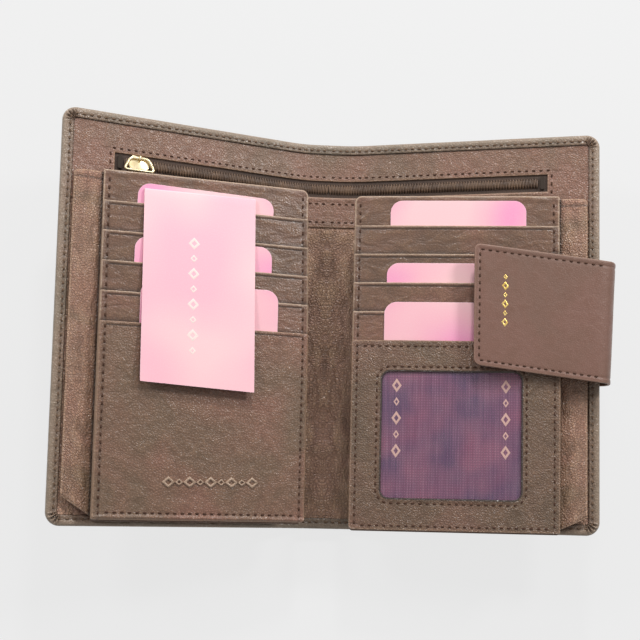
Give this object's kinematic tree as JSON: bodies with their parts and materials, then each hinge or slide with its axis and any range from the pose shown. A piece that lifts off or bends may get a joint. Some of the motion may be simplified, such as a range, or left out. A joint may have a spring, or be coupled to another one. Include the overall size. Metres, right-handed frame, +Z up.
{
  "type": "coupon organizer wallet",
  "caption": "Open soft leather bifold organizer with stepped card-slot panels on both pages, an ID window, a zip pocket along the top and a closing tab with a magnetic snap",
  "frame": {"origin": "centre of the spine's underside, on the table", "axes": "+X to the right across the open pages, +Y along the spine towards the zip pocket, +Z up out of the open wallet"},
  "size_m": [0.2445, 0.18, 0.047],
  "materials": {
    "hide": "grained hide, satin",
    "leather": "grained leather, semi-gloss",
    "dark_leather": "grained leather, satin",
    "board": "fibre board",
    "lining_fabric": "woven lining",
    "zip_tape": "woven tape",
    "zip_coil": "nylon coil",
    "gold_metal": "polished, plated",
    "card": "coated card",
    "film": "clear film"
  },
  "bodies": {
    "spine": {"spine_cover": "hide", "spine_lining": "dark_leather", "spine_zip_panel": "leather", "spine_zip_tape": "zip_tape", "spine_zip_coil": "zip_coil", "left_fold": "leather", "left_zip_fold": "zip_tape", "right_fold": "leather", "right_zip_fold": "zip_tape"},
    "left_page": {"left_cover": "hide", "left_board": "board", "left_lining": "dark_leather", "left_zip_panel": "leather", "left_zip_tape": "zip_tape", "left_zip_coil": "zip_coil", "zip_start_stop": "gold_metal", "snap_socket": "gold_metal"},
    "left_card_panel": {"left_gusset": "leather", "left_rear_leather": "dark_leather", "left_pocket_lining": "lining_fabric", "left_top_leather": "leather", "left_slot_1": "leather", "left_slot_2": "leather", "left_slot_3": "leather", "left_slot_4": "leather", "left_front_panel": "leather", "leaf_tongue": "card"},
    "hanging_leaf": {"leaf": "card"},
    "left_insert_1": {"left_card_1": "card"},
    "left_insert_3": {"left_card_3": "card"},
    "left_insert_5": {"left_card_5": "card"},
    "slider": {"zip_slider": "gold_metal"},
    "pull_ring": {"zip_pull": "gold_metal"},
    "right_page": {"right_cover": "hide", "right_board": "board", "right_lining": "dark_leather", "right_zip_panel": "leather", "right_zip_tape": "zip_tape", "right_zip_coil": "zip_coil", "zip_end_stop": "gold_metal", "tab_root": "leather", "tab_bend": "leather"},
    "right_card_panel": {"right_gusset": "leather", "right_rear_leather": "dark_leather", "right_pocket_lining": "lining_fabric", "right_top_leather": "leather", "right_slot_1": "leather", "right_slot_2": "leather", "right_slot_3": "leather", "right_slot_4": "leather", "id_lining": "lining_fabric", "id_window": "film", "id_frame": "leather"},
    "right_insert_1": {"right_card_1": "card"},
    "right_insert_3": {"right_card_3": "card"},
    "id_insert": {"right_card_id": "card"},
    "closing_tab": {"tab_outer": "leather", "tab_inner": "dark_leather", "snap_stud": "gold_metal"}
  },
  "joints": [
    {"name": "left_page_fold", "type": "hinge", "parent": "spine", "child": "left_page", "pos_m": [-0.01185, 0, 0.0017], "axis": [0, 1, 0], "range_deg": [-19, 66.5], "deforming": ["left_fold", "left_zip_fold"]},
    {"name": "right_page_fold", "type": "hinge", "parent": "spine", "child": "right_page", "pos_m": [0.01185, 0, 0.0017], "axis": [0, -1, 0], "range_deg": [-14.5, 71.5], "deforming": ["right_fold", "right_zip_fold"]},
    {"name": "left_panel_hinge", "type": "hinge", "parent": "left_page", "child": "left_card_panel", "pos_m": [-0.1116, -0.0119, 0.0432], "axis": [0, 1, 0], "range_deg": [-65, 6.5]},
    {"name": "right_panel_hinge", "type": "hinge", "parent": "right_page", "child": "right_card_panel", "pos_m": [0.11512, -0.0142, 0.03345], "axis": [0, -1, 0], "range_deg": [-1.6, 7.6]},
    {"name": "leaf_fold", "type": "hinge", "parent": "left_card_panel", "child": "hanging_leaf", "pos_m": [-0.05693, 0.0555, 0.03328], "axis": [0.9703, 0, -0.2419], "range_deg": [-150, 0]},
    {"name": "left_insert_1_slide", "type": "slide", "parent": "left_card_panel", "child": "left_insert_1", "axis": [0, 1, 0], "range_m": [0, 0.04]},
    {"name": "left_insert_3_slide", "type": "slide", "parent": "left_card_panel", "child": "left_insert_3", "axis": [0, 1, 0], "range_m": [0, 0.008]},
    {"name": "left_insert_5_slide", "type": "slide", "parent": "left_card_panel", "child": "left_insert_5", "axis": [0, 1, 0], "range_m": [0, 0.004]},
    {"name": "zip_slide", "type": "slide", "parent": "left_page", "child": "slider", "axis": [0.9336, 0, -0.3584], "range_m": [0, 0.0688]},
    {"name": "pull_ring_hinge", "type": "hinge", "parent": "slider", "child": "pull_ring", "pos_m": [-0.08465, 0.0706, 0.03388], "axis": [-0.9336, 0, 0.3584], "range_deg": [0, 170]},
    {"name": "right_insert_1_slide", "type": "slide", "parent": "right_card_panel", "child": "right_insert_1", "axis": [0, 1, 0], "range_m": [0, 0.04]},
    {"name": "right_insert_3_slide", "type": "slide", "parent": "right_card_panel", "child": "right_insert_3", "axis": [0, 1, 0], "range_m": [0, 0.04]},
    {"name": "id_insert_slide", "type": "slide", "parent": "right_card_panel", "child": "id_insert", "axis": [0, 1, 0], "range_m": [0, 0.04]},
    {"name": "tab_swing", "type": "hinge", "parent": "right_page", "child": "closing_tab", "pos_m": [0.12092, 0.003, 0.03672], "axis": [0.042, 0.999, 0.0117], "range_deg": [0, 180], "deforming": ["tab_bend"]}
  ],
  "couplings": [
    {"joint": "right_panel_hinge", "follows": "right_page_fold", "ratio": 0.105}
  ]
}
